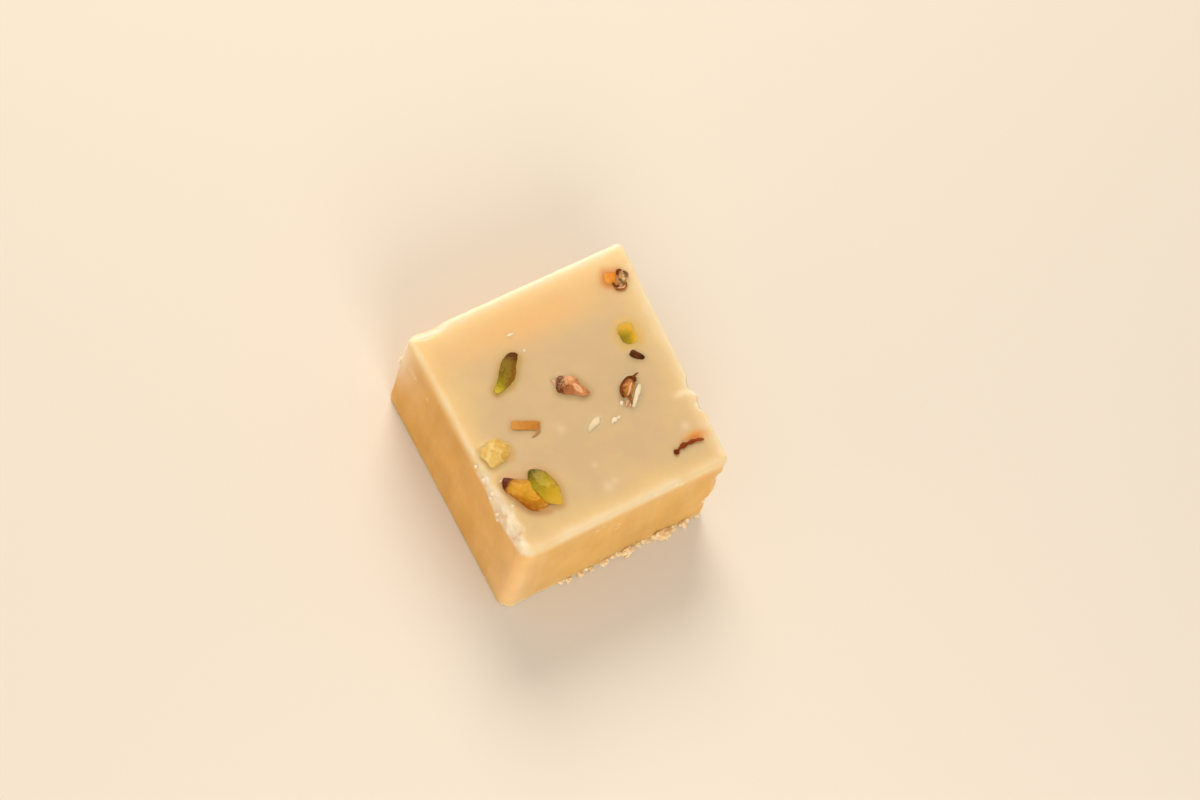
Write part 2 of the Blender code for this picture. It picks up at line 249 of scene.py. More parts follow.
for name, ownValues in nutValues.items():
    nutValues[name] = values = {**plainNut, **ownValues}
    values["middle"] = sum((Vector(p) for p in values["outline"]), Vector((0, 0))) / len(values["outline"])
    values["reach"] = max((Vector(p) - values["middle"]).length for p in values["outline"])


def cutCorners(points, rounds=2):  # rounds off a closed outline
    points = [Vector(p) for p in points]
    for _ in range(rounds):
        points = [a.lerp(b, share) for a, b in zip(points, points[1:] + points[:1]) for share in (0.25, 0.75)]
    return points


def nearestNut(x, y, reach):  # the nuts within reach of a place, each with its distance
    for values in nutValues.values():
        if math.hypot(x - values["middle"].x, y - values["middle"].y) < values["reach"] + reach:
            yield values, gapToOutline(x, y, values["outline"])


def gapToOutline(x, y, outline):  # distance in the plan from an outline, less than nothing inside it
    nearest, inside = 1e9, False
    for (ax, ay), (bx, by) in zip(outline, outline[1:] + outline[:1]):
        runX, runY = bx - ax, by - ay
        share = max(0.0, min(1.0, ((x - ax) * runX + (y - ay) * runY) / (runX * runX + runY * runY)))
        nearest = min(nearest, math.hypot(x - ax - share * runX, y - ay - share * runY))
        if (ay > y) != (by > y) and x < ax + runX * (y - ay) / runY:
            inside = not inside
    return -nearest if inside else nearest


# the block of sweet

blockValues = {
    "thickness": 20.0,
    "halfPlan": 22.5,
    "topCorners": {
        "leftBack": (-19.95, 23.75), "rightBack": (25.05, 23.7),
        "rightFront": (19.7, -22.35), "leftFront": (-22.9, -22.15)},
    "lowCorners": {
        "leftBack": (-21.35, 23.4), "rightBack": (24.2, 23.45),
        "rightFront": (18.15, -23.35), "leftFront": (-24.5, -23.35)},
    "cornerRadii": {"leftBack": 2.5, "rightBack": 1.4, "rightFront": 1.1, "leftFront": 2.3},
    "topEdgeRadius": 0.9,
    "lowEdgeRadius": 0.45,
    "planCuts": 148,
    "heightCuts": 66,
    "crowding": 0.5,  # how far the grid lines crowd towards the edges
    "wallSwell": 0.22,
    "wallSwellLength": 11.0,
    "wallSkin": 0.04,  # the swell fades in over this share of the half plan
    "cornerSwell": 0.4,  # the left back corner bulges this much
    "cornerSwellReach": 4.5,
    "cornerSwellHeights": (1.0, 12.0),  # from none to full
    "topSwell": 0.07,
    "topSwellLength": 9.0,
    "knifeDrag": 0.018,
    "knifeDragGrain": (0.7, 0.7, 9.0),
    "wallGrain": 0.025,
    "wallGrainSize": 1.2,
    "rimWobble": 0.1,
    "rimWobbleLength": 1.5,
    "brokenRelief": 0.32,
    "chipSteepness": 1.9,  # a chip is whole over the middle of its reach
    "chipGrain": 0.9,
    "crumbledUnevenness": 0.6,
    "wornUnevenness": 0.3,
    "nutRise": 0.3,  # the sweet stands up this much round a pressed-in nut
    "nutRiseReach": 0.5,
    "haloReach": 3.0,
    "creaseLift": 0.1,
    "creaseWidth": 0.6,
    "creaseFade": (16.2, 18.5),
}

chipValues = [  # centre, reach along each axis, push inwards as in the solid, how crumbled its skin is
    ((21.7, -6.9, 19.8), (2.0, 2.0, 2.0), (-0.6, 0.0, -0.2), 1.0),
    ((20.9, -11.0, 19.8), (1.6, 1.6, 1.6), (-0.35, 0.0, -0.15), 1.0),
    ((-16.2, 23.9, 20.0), (4.6, 2.4, 1.8), (0.0, -0.7, -0.3), 0.0),
    ((-22.6, -12.0, 20.0), (2.4, 2.4, 2.4), (0.5, 0.0, -0.45), 1.0),
    ((-22.9, -17.4, 20.0), (2.2, 2.2, 2.2), (0.45, 0.0, -0.5), 1.0),
    ((-22.1, -6.2, 20.0), (1.9, 1.9, 1.9), (0.35, 0.0, -0.35), 1.0),
    ((19.4, -22.7, 13.5), (2.4, 2.4, 2.4), (-0.5, 0.3, 0.0), 0.45),
    ((18.6, -23.1, 5.0), (2.4, 2.4, 2.4), (-0.45, 0.3, 0.0), 0.45),
    ((24.3, 3.0, 0.0), (2.4, 2.4, 2.4), (-0.4, 0.0, 0.15), 0.5),
    ((4.0, 23.6, 0.0), (2.6, 2.6, 2.6), (0.0, -0.35, 0.15), 0.5),
]
creaseLine = [(16.6, -7.6), (19.2, -7.5), (20.9, -8.6)]  # a pale fold that runs in from the right chip
paleMarks = [  # place, size and strength of milky marks in the skin
    ((-20.5, 19.6, 14.9), 0.35, 0.7), ((-20.65, 18.8, 14.8), 0.3, 0.8), ((-20.7, 18.0, 14.7), 0.35, 0.7),
    ((-20.95, 13.5, 14.7), 0.3, 0.8), ((-4.6, -3.9, 20.0), 0.9, 0.22), ((-2.8, -17.2, 20.0), 1.0, 0.3),
    ((-1.2, -16.8, 20.0), 0.7, 0.25), ((-2.8, -12.5, 20.0), 0.5, 0.3), ((15.9, -13.2, 20.0), 0.8, 0.3),
    ((-2.8, -22.7, 13.0), 0.3, 0.5), ((-2.6, -22.6, 14.4), 0.35, 0.5), ((-7.4, -22.45, 16.0), 0.4, 0.4),
    ((-6.1, -22.4, 16.5), 0.3, 0.4), ((9.7, -22.3, 18.9), 0.35, 0.8), ((8.6, -22.2, 19.6), 0.35, 0.6),
    ((4.2, -22.1, 19.4), 0.35, 0.4),
]
sideRims = {  # how strongly and how far in the rim along each side has dried pale, with a painted highlight over it
    "back": (1.0, 1.7),
    "left": (0.75, 0.75),
    "front": (0.75, 1.3),
    "right": (0.75, 2.0),
}
paintedCornerLights = {  # painted highlight on the upright edges at the left wall's two ends: how strongly and how far
    "leftBack": (1.5, 2.6),
    "leftFront": (0.3, 5.5),
}
brokenValues = {  # where the skin has crumbled: the left rim, the front foot and the right front corner
    "ragged": 0.7,
    "raggedGrain": 2.2,
    "leftWall": (-22.6, 0.02, -22.0),  # x where it meets the top, its lean with y, and from which y
    "topReach": (0.9, 1.5, -12.0, 6.5),  # least width, extra width, where that is and over what length
    "wallReach": (1.5, 1.5, -13.5, 4.5),
    "softness": (0.8, 0.3),  # half the width of its fading edge over the top and down the wall
    "rimStart": (-1.0, -4.0),
    "footShare": 0.45,
    "footHeights": (1.5, 0.4),
    "cornerShare": 0.2,
    "cornerPlace": (18.9, -22.8),
    "cornerReach": (1.9, 0.7),
    "cornerDepths": (0.4, 2.5),
}
shadeValues = {  # how the colours of the skin run, in millimetres from the rim, the foot or the walls
    "cutDepths": (0.15, 3.0),  # the poured top ends and the cut wall begins
    "edgeReach": 3.5,
    "glowReach": 4.0,
    "amber": (0.7, 6.5, 4.0),  # strength, distance from the back wall, and width of a band of painted glow on the top
    "amberAcross": (-2.0, 17.0),
    "rimRagged": 0.4,
    "rimRaggedLength": 1.1,
    "rimFlat": 0.2,
    "rimStretch": 1.6,  # the rims reach less far down the walls than over the top
    "footStretch": 1.5,
    "footDepth": 0.8,
    "paintedBackRimHighlight": (0.85, 1.0),  # strength and width of the painted highlight along the back rim
    "frontWall": (-20.5, -22.0),
    # painted glow on the upper front wall: strength, and how far down it fades
    "frontPaintedGlow": (0.24, 2.6),
    "stainPlace": (16.4, -15.75),
    "stainReach": (2.2, 0.95),
}


def crowdedShare(share):
    return share - blockValues["crowding"] * math.sin(2 * math.pi * share) / (2 * math.pi)


def discFromSquare(first, second):
    reach = math.hypot(first, second)
    if reach == 0:
        return first, second
    factor = max(abs(first), abs(second)) / reach
    return first * factor, second * factor


def roundBlockPoint(x, y, z):  # the square block with its edges rounded, and the distance from the wall
    half, thickness = blockValues["halfPlan"], blockValues["thickness"]
    radius = blockValues["cornerRadii"][("right" if x > 0 else "left") + ("Back" if y > 0 else "Front")]
    coreX = max(radius - half, min(half - radius, x))
    coreY = max(radius - half, min(half - radius, y))
    offX, offY = discFromSquare(x - coreX, y - coreY)
    reach = math.hypot(offX, offY)
    nearTop = z > thickness / 2
    edgeRadius = blockValues["topEdgeRadius"] if nearTop else blockValues["lowEdgeRadius"]
    gap = radius - reach if reach else half - max(abs(x), abs(y))
    depth = thickness - z if nearTop else z
    if gap < edgeRadius and depth < edgeRadius:
        inWall, inFace = discFromSquare(edgeRadius - gap, edgeRadius - depth)
        gap, depth = edgeRadius - inWall, edgeRadius - inFace
        if reach:
            offX, offY = offX * (radius - gap) / reach, offY * (radius - gap) / reach
    return Vector((coreX + offX, coreY + offY, thickness - depth if nearTop else depth)), gap


def uprightEdge(name, up):  # where this corner of the piece is at a share of its height
    return Vector(blockValues["lowCorners"][name]).lerp(Vector(blockValues["topCorners"][name]), up)


def skewPoint(point):  # the true square carried to the leaning, slightly skewed piece
    across = (point.x / blockValues["halfPlan"] + 1) / 2
    along = (point.y / blockValues["halfPlan"] + 1) / 2
    up = point.z / blockValues["thickness"]
    shares = {
        "leftBack": (1 - across) * along,
        "rightBack": across * along,
        "rightFront": across * (1 - along),
        "leftFront": (1 - across) * (1 - along),
    }
    place = Vector((0.0, 0.0))
    for name, share in shares.items():
        place += share * uprightEdge(name, up)
    return Vector((place.x, place.y, point.z))


def wallSwell(point, square):
    outward = Vector((square.x, square.y, 0.0)) / blockValues["halfPlan"]
    gap = (point.xy - Vector(blockValues["topCorners"]["leftBack"])).length
    nearCorner = bell(gap, blockValues["cornerSwellReach"])
    nearCorner *= smoothStep(*blockValues["cornerSwellHeights"], point.z)
    wallSkin = blockValues["wallSkin"]
    wallShare = max(0.0, (max(abs(outward.x), abs(outward.y)) - 1 + wallSkin) / wallSkin)
    swell = noise.noise(point / blockValues["wallSwellLength"])
    swell *= math.sin(math.pi * point.z / blockValues["thickness"])
    return outward * (swell * blockValues["wallSwell"] * wallShare + blockValues["cornerSwell"] * nearCorner)


def chipPush(point):
    push, broken = Vector((0.0, 0.0, 0.0)), 0.0
    for centre, reach, depth, crumbled in chipValues:
        nearness = 1 - Vector([(point[axis] - centre[axis]) / reach[axis] for axis in range(3)]).length
        if nearness > 0:
            roughness = blockValues["crumbledUnevenness" if crumbled else "wornUnevenness"]
            unevenness = 1 + roughness * noise.noise(point / blockValues["chipGrain"])
            push += Vector(depth) * min(1.0, blockValues["chipSteepness"] * nearness) * unevenness
            broken = max(broken, crumbled * smoothStep(0.0, 0.5, nearness))
    return push, broken


def widthAlong(y, least, extra, middle, length):
    return least + extra * bell(y - middle, length)


def brokenAt(point):  # how crumbled the skin is here
    values = brokenValues
    wallX, lean, fromY = values["leftWall"]
    inward = point.x - wallX + lean * (point.y - fromY)
    down = blockValues["thickness"] - point.z
    ragged = values["ragged"] * crags(point, values["raggedGrain"], 5.0)
    leftRim = foot = 0.0
    if point.x < -17 and point.y < 0:
        topReach = widthAlong(point.y, *values["topReach"]) + ragged
        wallReach = widthAlong(point.y, *values["wallReach"]) + ragged
        leftRim = smoothStep(*values["rimStart"], point.y)
        topSoft, wallSoft = values["softness"]
        leftRim *= smoothStep(topReach + topSoft, topReach - topSoft, inward)
        leftRim *= smoothStep(wallReach + wallSoft, wallReach - wallSoft, down)
    if point.y < -22.0:
        high, low = values["footHeights"]
        foot = values["footShare"] * smoothStep(high + ragged, low + ragged, point.z)
    cornerGap = (point.xy - Vector(values["cornerPlace"])).length
    corner = values["cornerShare"] * smoothStep(*values["cornerReach"], cornerGap)
    corner *= smoothStep(*values["cornerDepths"], down)
    return max(leftRim, foot, corner, 0.0)


def creaseAt(point):
    nearest = 9.0
    for start, end in zip(creaseLine, creaseLine[1:]):
        run = Vector(end) - Vector(start)
        share = max(0.0, min(1.0, (point.xy - Vector(start)).dot(run) / run.length_squared))
        nearest = min(nearest, (point.xy - Vector(start) - run * share).length)
    return bell(nearest, blockValues["creaseWidth"]) * smoothStep(*blockValues["creaseFade"], point.x)


def nutsAt(x, y):  # the rise of the sweet round the nuts, and their strongest halo there
    rise, share, tint = 0.0, 0.0, hexColour(sweetLook["topMiddle"])
    for values, gap in nearestNut(x, y, blockValues["haloReach"]):
        rise = max(rise, bell(max(gap, 0.0), blockValues["nutRiseReach"]) * min(1.0, values["lift"]))
        colour, strength, width = values["halo"]
        here = strength * bell(max(gap - 0.1, 0.0), width)
        if here > share:
            share, tint = here, hexColour(colour)
    return rise, share, tint


shareNames = (
    "cutShare", "rimShare", "brokenShare", "paintedEdgeGlowShare", "haloShare", "stainShare", "markShare", "glowShare",
    "paintedAmberGlowShare", "cornerShare")


def paintedCornerLight(point):  # how far the skin here takes the painted highlight of an upright edge
    up = point.z / blockValues["thickness"]
    pale = 0.0
    for name, (strength, width) in paintedCornerLights.items():
        fade = smoothStep(0.15, 0.75, up) if name == "leftBack" else 1.0 - 0.35 * up
        gap = (point.xy - uprightEdge(name, up)).length
        pale = max(pale, fade * min(1.0, strength * math.exp(-gap / width)))
    return pale


def rimAt(square, ragged):  # how far the skin here belongs to a rim, dried pale and with a painted highlight
    half = blockValues["halfPlan"]
    gaps = {
        "back": half - square.y, "left": half + square.x, "front": half + square.y, "right": half - square.x}
    depth = min((blockValues["thickness"] - square.z) * shadeValues["rimStretch"],
                square.z * shadeValues["footStretch"] + shadeValues["footDepth"])
    return max(strength * bell(max(0.0, max(gaps[side], depth) - shadeValues["rimFlat"] + ragged), width)
               for side, (strength, width) in sideRims.items())


def shadesAt(square, point, gap):  # how far each colour of the sweet reaches this place
    values, fromBack = shadeValues, blockValues["halfPlan"] - square.y
    depth = blockValues["thickness"] - square.z
    ragged = values["rimRagged"] * noise.noise(point / values["rimRaggedLength"])
    amber, amberAway, amberWidth = values["amber"]
    amberMiddle, amberSpread = values["amberAcross"]
    white, whiteWidth = values["paintedBackRimHighlight"]
    frontPaintedGlow, frontReach = values["frontPaintedGlow"]
    front = frontPaintedGlow * smoothStep(*values["frontWall"], square.y) * math.exp(-depth / frontReach)
    amber = amber * bell(fromBack - amberAway, amberWidth) * bell(square.x - amberMiddle, amberSpread)
    return {
        "cutShare": smoothStep(*values["cutDepths"], depth),  # 0 on the poured top, 1 on the cut walls
        "rimShare": rimAt(square, ragged),
        # painted glow along the back of the top
        "glowShare": math.exp(-fromBack / values["glowReach"]),
        "paintedAmberGlowShare": amber,
        # painted highlight along the back rim, over the real milky marks
        "markShare": white * bell(max(0.0, max(fromBack, depth) - values["rimFlat"]), whiteWidth),
        # cornerShare: painted highlight of the upright edges and painted glow on the upper front wall
        "cornerShare": max(paintedCornerLight(point), front),
        # painted glow: the top warms towards its edges, where light comes through the sweet
        "paintedEdgeGlowShare": math.exp(-gap / values["edgeReach"]),
    }


def makeBlock():
    bm = bmesh.new()
    bmesh.ops.create_cube(bm, size=1.0)
    planCuts = blockValues["planCuts"]
    for axis, cuts in ((2, blockValues["heightCuts"]), (0, planCuts), (1, planCuts)):
        edges = [e for e in bm.edges if abs(e.verts[0].co[axis] - e.verts[1].co[axis]) > 0.5]
        bmesh.ops.subdivide_edges(bm, edges=edges, cuts=cuts - 1, use_grid_fill=True)
    layers = {name: bm.verts.layers.float.new(name) for name in shareNames}
    layers["haloTint"] = bm.verts.layers.float_color.new("haloTint")
    half, thickness = blockValues["halfPlan"], blockValues["thickness"]
    for vert in bm.verts:
        x, y = (2 * half * (crowdedShare(vert.co[axis] + 0.5) - 0.5) for axis in (0, 1))
        square, gap = roundBlockPoint(x, y, thickness * crowdedShare(vert.co.z + 0.5))
        point = skewPoint(square)
        push, chipped = chipPush(point)
        vert.co = point + wallSwell(point, square) + push
        vert[layers["brokenShare"]] = max(chipped, brokenAt(point))
        for name, share in shadesAt(square, point, gap).items():
            vert[layers[name]] = share
    bm.normal_update()
    for vert in bm.verts:
        reliefOn(vert, layers)
    return bm


def reliefOn(vert, layers):
    point, onTop = vert.co.copy(), vert.normal.z > 0.5 and vert.co.z > 18.0
    rim, broken = vert[layers["rimShare"]], vert[layers["brokenShare"]]
    if onTop:
        relief = blockValues["topSwell"] * noise.noise(point / blockValues["topSwellLength"])
        rise, vert[layers["haloShare"]], vert[layers["haloTint"]] = nutsAt(point.x, point.y)
        crease = creaseAt(point)
        lift = blockValues["nutRise"] * rise + blockValues["creaseLift"] * crease
        stainPlace, stainReach = shadeValues["stainPlace"], shadeValues["stainReach"]
        stainX, stainY = (bell(point[axis] - stainPlace[axis], stainReach[axis]) for axis in (0, 1))
        vert[layers["stainShare"]] = stainX * stainY
    else:
        base = smoothStep(0.5, 0.0, point.z)
        grain = blockValues["knifeDragGrain"]
        drag = noise.noise(Vector([point[axis] / grain[axis] for axis in range(3)]))
        grit = crags(point, blockValues["wallGrainSize"])
        relief = (1 - base) * (blockValues["knifeDrag"] * drag + blockValues["wallGrain"] * grit)
        lift = crease = 0.0
    relief += rim * blockValues["rimWobble"] * noise.noise(point / blockValues["rimWobbleLength"])
    torn = 1.1 * noise.noise(point / 1.5) + 0.4 * noise.noise(point / 0.8)
    relief += broken * blockValues["brokenRelief"] * torn
    marks = [strength * bell((point - Vector(place)).length, size) for place, size, strength in paleMarks]
    vert[layers["markShare"]] = max(vert[layers["markShare"]], max(marks), crease * 0.5)
    vert.co = point + vert.normal * relief + Vector((0.0, 0.0, lift))
    vert.co.z = max(vert.co.z, 0.0)


sweetGrain = {  # millimetres between lumps, detail and roughness
    "patches": (6.0, 4.0, 0.5),
    "mottle": (1.3, 4.0, 0.6),
    "grit": (0.35, 2.0, 0.5),
}
sweetSpans = {  # what each factor follows, between which values, and the factor at each
    "topTone": ("patches", 0.35, 0.65, -0.12, 0.12),
    "wallTone": ("patches", 0.35, 0.7, 0.0, 1.0),
    "streakTone": ("streaks", 0.4, 0.75, 0.0, 0.08),
    "rimTone": ("patches", 0.35, 0.6, 0.45, 1.0),
    "brokenTone": ("mottle", 0.35, 0.62, 0.4, 0.9),
    "throughLight": ("brokenShare", 0.0, 1.0, 1.0, 0.55),  # dry crumbled sweet lets less light through
    "roughness": ("cutShare", 0.0, 1.0, 0.42, 0.62),
    "grainDepth": ("cutShare", 0.0, 1.0, 0.08, 0.28),
}


sweetSums = {  # factors worked out from two others
    "topFactor": ("topTone", "paintedEdgeGlowShare", "ADD", True),
    "rimFactor": ("rimShare", "rimTone", "MULTIPLY", False),
    "brokenFactor": ("brokenShare", "brokenTone", "MULTIPLY", False),
    "grain": ("mottle", "grit", "ADD", False),
}
sweetCoats = {  # the colour that each part starts from, and the factor and colour of each coat over it
    # the top's coats over its tan are painted glow: warm edges, a brighter back, and an amber band
    "top": ("topMiddle", [("topFactor", "topWarm"), ("glowShare", "edgeGlow"), ("paintedAmberGlowShare", "amber")]),
    "wall": ("cutGold", [
        ("wallTone", "cutDeep"), ("cornerShare", "cornerPale"), ("streakTone", "cornerPale")]),
    "skin": ("top", [
        ("cutShare", "wall"), ("haloShare", "haloTint"), ("stainShare", "skinStain"),
        ("rimFactor", "rimPale"), ("brokenFactor", "brokenPale"), ("markShare", "milkMarkAndRimHighlight")]),
}


def milkSweetMaterial():
    material, tree, shader = newMaterial("setMilkSweet", {
        "Roughness": 0.5, "IOR": 1.45, "Specular IOR Level": 0.35, "Subsurface Weight": 1.0,
        "Subsurface Scale": sweetLook["lightDepth"] * millimetre, "Subsurface Radius": (1.0, 0.6, 0.35)})
    place = addNode(tree, "TexCoord").outputs["Object"]
    source = {name: addNode(tree, "Attribute", attribute_name=name).outputs["Fac"] for name in shareNames}
    for name, (size, detail, rough) in sweetGrain.items():
        settings = {"Vector": place, "Scale": perPattern(size), "Detail": detail, "Roughness": rough}
        source[name] = addNode(tree, "TexNoise", settings).outputs[0]
    drawn = addNode(tree, "Mapping", {"Vector": place, "Scale": (1.0, 1.0, 0.12)}).outputs[0]
    settings = {"Vector": drawn, "Scale": perPattern(2.2), "Detail": 3.0}  # the knife draws these tall
    source["streaks"] = addNode(tree, "TexNoise", settings).outputs[0]
    for name, (followed, *span) in sweetSpans.items():
        sockets = dict(enumerate([source[followed], *span]))
        source[name] = addNode(tree, "MapRange", sockets).outputs[0]
    for name, (first, second, operation, clamped) in sweetSums.items():
        sockets = {0: source[first], 1: source[second]}
        source[name] = addNode(tree, "Math", sockets, operation=operation, use_clamp=clamped).outputs[0]
    colours = {name: hexColour(code) for name, code in sweetLook.items() if name != "lightDepth"}
    colours["haloTint"] = addNode(tree, "Attribute", attribute_name="haloTint").outputs["Color"]
    for part, (start, coats) in sweetCoats.items():
        colours[part] = colours[start]
        for factor, coat in coats:
            sockets = {0: source[factor], 6: colours[part], 7: colours[coat]}
            colours[part] = addNode(tree, "Mix", sockets, data_type="RGBA").outputs[2]
    bump = addNode(tree, "Bump", {
        "Strength": source["grainDepth"], "Distance": 0.12 * millimetre, "Height": source["grain"]})
    for socket, wanted in (("Base Color", colours["skin"]), ("Subsurface Weight", source["throughLight"]),
                           ("Roughness", source["roughness"]), ("Normal", bump.outputs["Normal"])):
        tree.links.new(wanted, shader.inputs[socket])
    return material


sweet = milkSweetMaterial()
block = finishPiece("milkSweetBlock", makeBlock(), sweet)
skin = BVHTree.FromPolygons(
    [v.co / millimetre for v in block.data.vertices], [p.vertices for p in block.data.polygons])
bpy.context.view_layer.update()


def topHeight(x, y):
    hit = skin.ray_cast(Vector((x + boxShift.x, y + boxShift.y, 40.0)), Vector((0, 0, -1)))
    return hit[0].z if hit[0] else blockValues["thickness"]


# chopped nuts: each is a dome spread over its outline and broken by flat facets, half sunk into the top

lumpValues = {
    "sink": 0.9,  # millimetres that each goes down into the sweet
    "raised": 0.05,
    "detail": 5,
    "directions": 180,
    "facetEdge": 0.03,
}


def reachTable(values):  # how far the outline is from its middle, for each direction
    outline = cutCorners(values["outline"])
    table = []
    for step in range(lumpValues["directions"]):
        angle = 2 * math.pi * step / lumpValues["directions"]
        wayX, wayY = math.cos(angle), math.sin(angle)
        best = 0.0
        for a, b in zip(outline, outline[1:] + outline[:1]):
            startX, startY = a.x - values["middle"].x, a.y - values["middle"].y
            runX, runY = b.x - a.x, b.y - a.y
            cross = wayX * runY - wayY * runX
            if abs(cross) > 1e-9:
                far = (startX * runY - startY * runX) / cross
                share = (startX * wayY - startY * wayX) / cross
                if far > 0 and -1e-6 <= share <= 1 + 1e-6:
                    best = max(best, far)
        table.append(best)
    return table


def makeFacets(count, seed):  # direction, distance and tone of the flat broken faces of a unit dome
    rng = random.Random(seed)
    facets = []
    for index in range(count):
        turn = 2 * math.pi * (index + rng.uniform(-0.3, 0.3)) / count
        lean = math.radians(rng.uniform(8, 58))
        way = Vector((math.cos(turn) * math.sin(lean), math.sin(turn) * math.sin(lean), math.cos(lean)))
        facets.append((way, rng.uniform(0.78, 0.94), rng.random()))
    return facets


lumpLayers = ("along", "across", "height", "facetTone")  # these let a material follow the nut's shape


def makeLump(values, seed):
    bm = bmesh.new()
    bmesh.ops.create_icosphere(bm, subdivisions=lumpValues["detail"], radius=1.0)
    layers = [bm.verts.layers.float.new(name) for name in lumpLayers]
    table, facets, boxy = reachTable(values), makeFacets(values["facets"], seed), values["boxy"]
    start, end = (Vector(p) for p in values["axis"])
    length, axis = (end - start).length, (end - start).normalized()
    for vert in bm.verts:
        way = vert.co.normalized()
        spread = math.hypot(way.x, way.y)
        shape = way * (spread ** boxy + abs(way.z) ** boxy) ** (-1 / boxy)
        tone = 0.5
        for facet, limit, facetTone in facets:
            over = shape.dot(facet) - limit
            if over > 0:
                shape -= facet * over
                tone += (facetTone - tone) * min(1.0, over / lumpValues["facetEdge"])
        shape *= 1 + values["wrinkle"] * crags(way, values["grain"], seed)
        turn = math.atan2(shape.y, shape.x) % (2 * math.pi) / (2 * math.pi) * len(table)
        low = int(turn) % len(table)
        reach = table[low] + (table[(low + 1) % len(table)] - table[low]) * (turn - int(turn))
        spot = values["middle"] + Vector((shape.x, shape.y)) * reach * values["grow"]
        if shape.z > 0:
            rise = values["lift"] * shape.z ** values["soft"]
            rise += values["crumple"] * shape.z * crags(Vector((spot.x, spot.y, seed)), 1.0)
        else:
            rise = lumpValues["sink"] * shape.z
        vert.co = Vector((spot.x, spot.y, blockValues["thickness"] + lumpValues["raised"] + rise))
        vert[layers[0]] = (spot - start).dot(axis) / length
        vert[layers[1]] = 0.5 + (spot - start).dot(axis.orthogonal()) / (2 * values["reach"])
        vert[layers[2]] = shape.z
        vert[layers[3]] = tone
    return bm


def makeStrand(points, radii, lift, seed, wrinkle, flat):  # a thin strip of skin bent through its points
    bm = bmesh.new()
    layers = [bm.verts.layers.float.new(name) for name in lumpLayers[:3]]
    spots = [Vector((x, y, topHeight(x, y) + lift)) for x, y in points]
    steps, sides, rings = 6, 14, []
    spine = []
    for index in range(len(spots) - 1):
        before, start, end, after = (spots[max(0, min(len(spots) - 1, index + k))] for k in (-1, 0, 1, 2))
        for step in range(steps):
            t = step / steps
            curve = start * 2 + (end - before) * t + (before * 2 - start * 5 + end * 4 - after) * t * t
            curve += (start * 3 - before - end * 3 + after) * t ** 3
            spine.append((curve / 2, radii[index] + (radii[index + 1] - radii[index]) * t))
    spine.append((spots[-1], radii[-1]))
    for index, (spot, radius) in enumerate(spine):
        ahead = spine[min(index + 1, len(spine) - 1)][0] - spine[max(index - 1, 0)][0]
        side = Vector((-ahead.y, ahead.x, 0.0)).normalized()
        ring = []
        for step in range(sides):
            turn = 2 * math.pi * step / sides
            way = side * math.cos(turn) + Vector((0, 0, math.sin(turn) * flat))
            rough = 1 + wrinkle * crags(spot + way * radius, 0.5, seed)
            vert = bm.verts.new(spot + way * radius * rough)
            vert[layers[0]] = index / (len(spine) - 1)
            vert[layers[1]], vert[layers[2]] = 0.5 + 0.5 * math.cos(turn), math.sin(turn)
            ring.append(vert)
        rings.append(ring)
    for first, second in zip(rings, rings[1:]):
        for step in range(sides):
            bm.faces.new((first[step - 1], first[step], second[step], second[step - 1]))
    for ring, (spot, radius) in ((rings[0], spine[0]), (rings[-1], spine[-1])):
        outward = (spot - spine[len(spine) // 2][0]).normalized()
        tip = bm.verts.new(spot + outward * radius * 0.6)
        tip[layers[0]], tip[layers[1]], tip[layers[2]] = ring[0][layers[0]], 0.5, 0.3
        for step in range(sides):
            bm.faces.new((ring[step - 1], ring[step], tip))
    return bm


# ends: colours from end to end; patches: colours of its mottling; faces: colours of its broken faces
# flank: colour of one side, where it starts and is full; tip: colour of one end, where it is full and ends
# under: colour low on the sides, where it sinks in; milk: how milky it sinks in; sheen: how much it shines
# wander: how far the colours stray; rough: how strong its fine relief is; glow: how much light gets in
# patchSize and lightDepth: in millimetres

plainLook = {
    "roughness": 0.45,
    "rough": 0.6,
    "sheen": 0.35,
    "glow": 0.35,
    "lightDepth": 0.5,
    "patchSize": 0.8,
    "wander": 0.12,
    "milk": 0.3,
}


